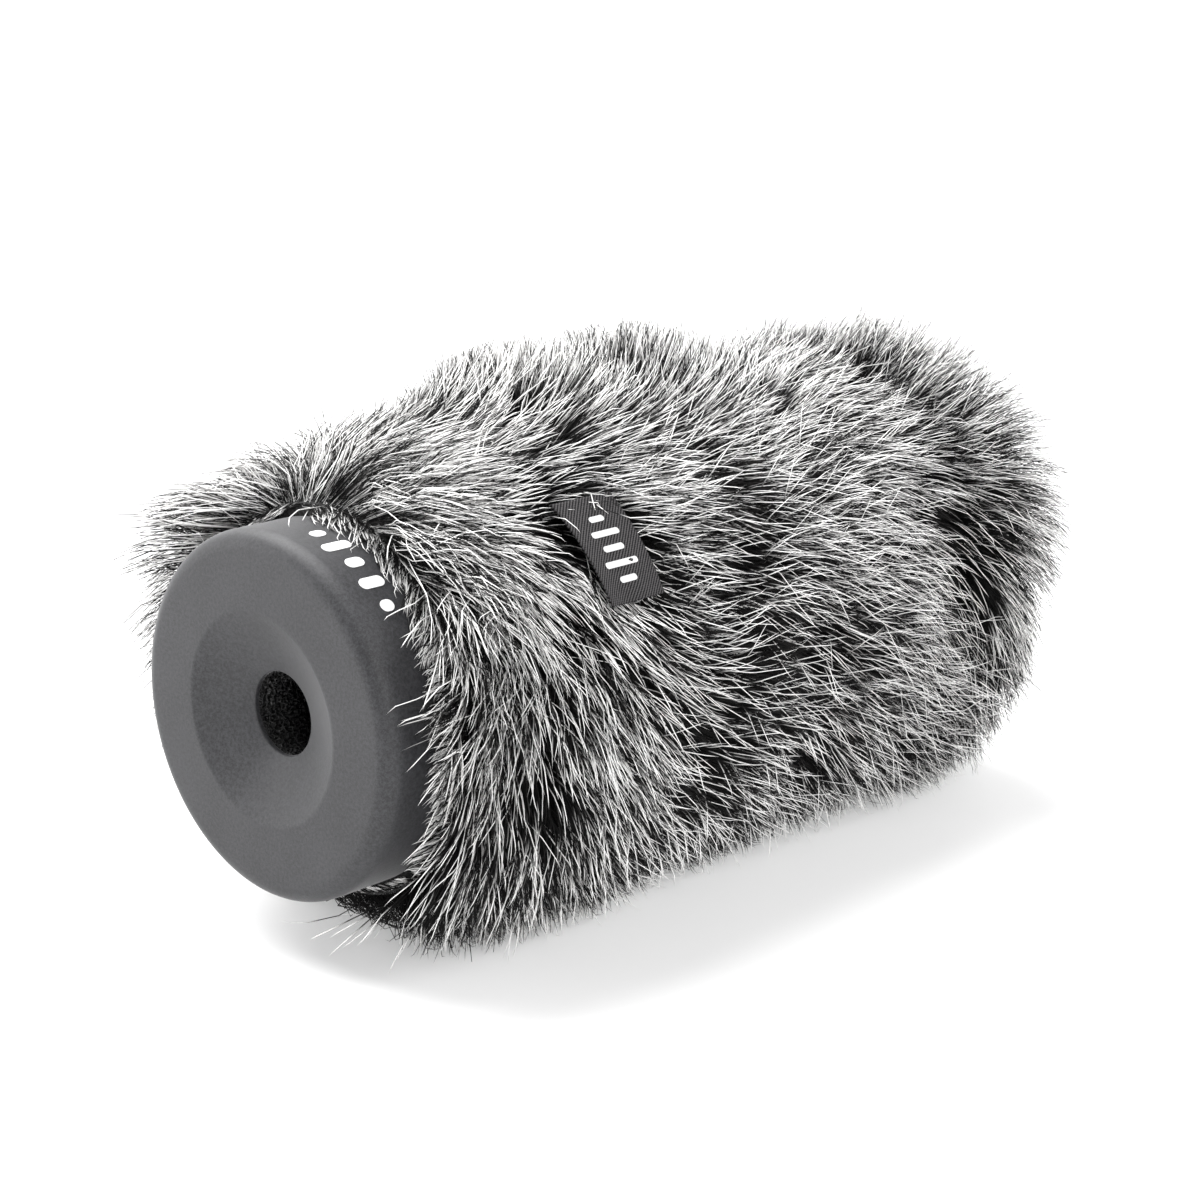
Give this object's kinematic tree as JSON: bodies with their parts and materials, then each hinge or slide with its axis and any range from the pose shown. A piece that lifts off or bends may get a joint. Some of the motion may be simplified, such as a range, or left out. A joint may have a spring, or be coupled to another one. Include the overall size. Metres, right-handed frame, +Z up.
{
  "type": "furry microphone windscreen",
  "caption": "Slip-on furry windscreen for a shotgun microphone: long-pile cover over a foam core, with a dished rubber end cap and a mouth hole.",
  "frame": {"origin": "centre of the mouth, at the front edge of the hole in the end cap", "axes": "+Y runs along the bore from the mouth to the closed furry end, +Z is up, +X is to the right when looking into the windscreen's mouth"},
  "size_m": [0.1204, 0.2184, 0.1132],
  "materials": {
    "cap_rubber": "matte, fine grain",
    "print_ink": "matte screen print",
    "foam": "open-cell foam",
    "adhesive": "contact adhesive film",
    "pile": "long pile, dark roots and pale tips",
    "backing": "knitted backing",
    "thread": "spun polyester thread",
    "elastic": "braided elastic cord",
    "label_ribbon": "twill ribbon"
  },
  "bodies": {
    "root": {"end_cap": "cap_rubber", "end_cap_mark": "print_ink", "foam_sleeve": "foam", "foam_end_plug": "foam", "plug_glue_film": "adhesive", "cap_glue_film": "adhesive", "fur_sleeve": "pile", "fur_end_panel": "pile", "sleeve_seam_allowance": "backing", "end_seam_allowance": "backing", "sleeve_seam_stitches": "thread", "end_seam_stitches": "thread", "hem_elastic": "elastic", "hem_binding": "backing", "hem_stitches": "thread", "label_seam_tab": "label_ribbon", "label_tack_stitches": "thread"},
    "label": {"label_flap": "label_ribbon"}
  },
  "joints": [
    {"name": "label_hinge", "type": "hinge", "parent": "root", "child": "label", "pos_m": [0.03668, 0.0506, 0.0431], "axis": [0, -1, 0], "range_deg": [0, 95]}
  ]
}
